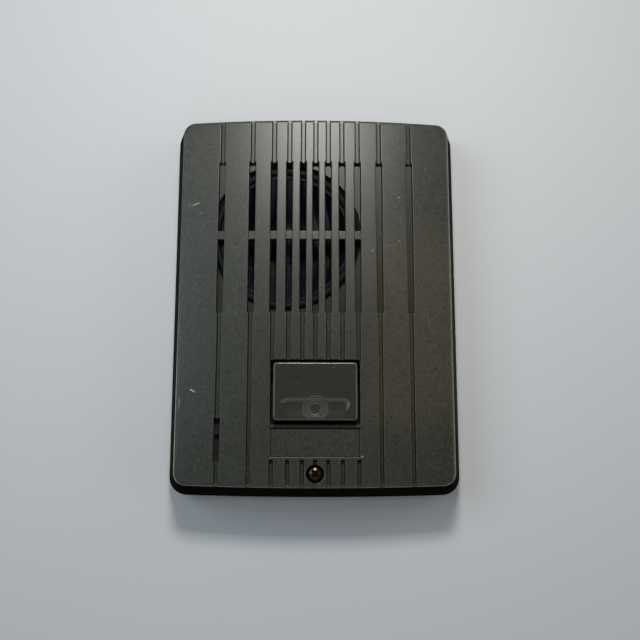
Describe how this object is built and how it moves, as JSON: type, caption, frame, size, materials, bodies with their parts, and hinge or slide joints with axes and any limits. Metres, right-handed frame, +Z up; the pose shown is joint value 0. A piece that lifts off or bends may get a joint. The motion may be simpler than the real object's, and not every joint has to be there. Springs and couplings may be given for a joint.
{
  "type": "door station",
  "caption": "Surface-mounted door station with a bowed grooved cover, slotted speaker grille, hinged call button, microphone slit and a wall bracket behind.",
  "frame": {"origin": "middle of the wall face, behind the unit", "axes": "+X to the right seen from the front, +Y into the wall, +Z up; the front looks along -Y"},
  "size_m": [0.099, 0.0232, 0.1324],
  "materials": {
    "cover_plastic": "moulded, fine texture, dark olive-brown",
    "button_plastic": "smooth smoked plastic",
    "rear_plastic": "moulded, fine texture",
    "rubber": "soft black rubber",
    "foam": "closed-cell foam",
    "screw_bronze": "bronzed, worn",
    "steel": "zinc-plated",
    "cone_film": "glossy blue-black film",
    "damper_cloth": "impregnated cloth",
    "copper": "enamelled copper wire",
    "ferrite": "sintered, dark grey",
    "board": "brown paper laminate",
    "black_plastic": "moulded black",
    "white_plastic": "off-white",
    "brass": "plain brass",
    "can_sleeve": "shrunk sleeve",
    "film_dip": "dipped red-brown",
    "resistor_lacquer": "tan lacquer",
    "capsule_can": "plain can",
    "red_sheath": "red sheath",
    "blue_sheath": "blue sheath"
  },
  "bodies": {
    "unit": {"front_cover": "cover_plastic", "rear_case": "rear_plastic", "terminal_block": "rear_plastic", "button_seal": "rubber", "case_gasket": "rubber", "microphone_boot": "rubber", "speaker_gasket": "foam", "cover_screw": "screw_bronze", "button_pin": "steel", "button_spring": "steel", "board_screws": "steel", "clamp_screws": "steel", "case_screws": "steel", "speaker_frame": "steel", "speaker_top_plate": "steel", "speaker_yoke": "steel", "speaker_clamps": "steel", "wall_bracket": "steel", "bracket_nut": "steel", "speaker_surround": "cone_film", "speaker_damper": "damper_cloth", "transformer_winding": "copper", "speaker_magnet": "ferrite", "transformer_core": "ferrite", "circuit_board": "board", "speaker_terminals": "board", "switch_body": "black_plastic", "amplifier_chip": "black_plastic", "bridge_rectifier": "black_plastic", "lead_connector": "white_plastic", "terminal_plates": "brass", "terminal_screws": "brass", "electrolytic_capacitors": "can_sleeve", "film_capacitors": "film_dip", "resistors": "resistor_lacquer", "microphone_capsule": "capsule_can", "microphone_leads": "red_sheath", "speaker_leads": "blue_sheath"},
    "button": {"call_button": "button_plastic"},
    "plunger": {"switch_plunger": "white_plastic"},
    "cone": {"speaker_cone": "cone_film", "speaker_dust_cap": "cone_film", "voice_coil": "copper"}
  },
  "joints": [
    {"name": "button_press", "type": "hinge", "parent": "unit", "child": "button", "pos_m": [0, -0.0174, -0.0244], "axis": [1, 0, 0], "range_deg": [0, 3.5], "stiffness_Nm_per_rad": 0.45, "springref_deg": -1.72, "deforming": ["button_spring", "button_seal"]},
    {"name": "plunger_press", "type": "slide", "parent": "unit", "child": "plunger", "axis": [0, 1, 0], "range_m": [0, 0.001]},
    {"name": "cone_travel", "type": "slide", "parent": "unit", "child": "cone", "axis": [0, -1, 0], "range_m": [-0.0004, 0.0004], "stiffness_N_per_m": 800, "deforming": ["speaker_surround", "speaker_damper"]}
  ],
  "couplings": [
    {"joint": "plunger_press", "follows": "button_press", "m_per_rad": 0.0122}
  ]
}
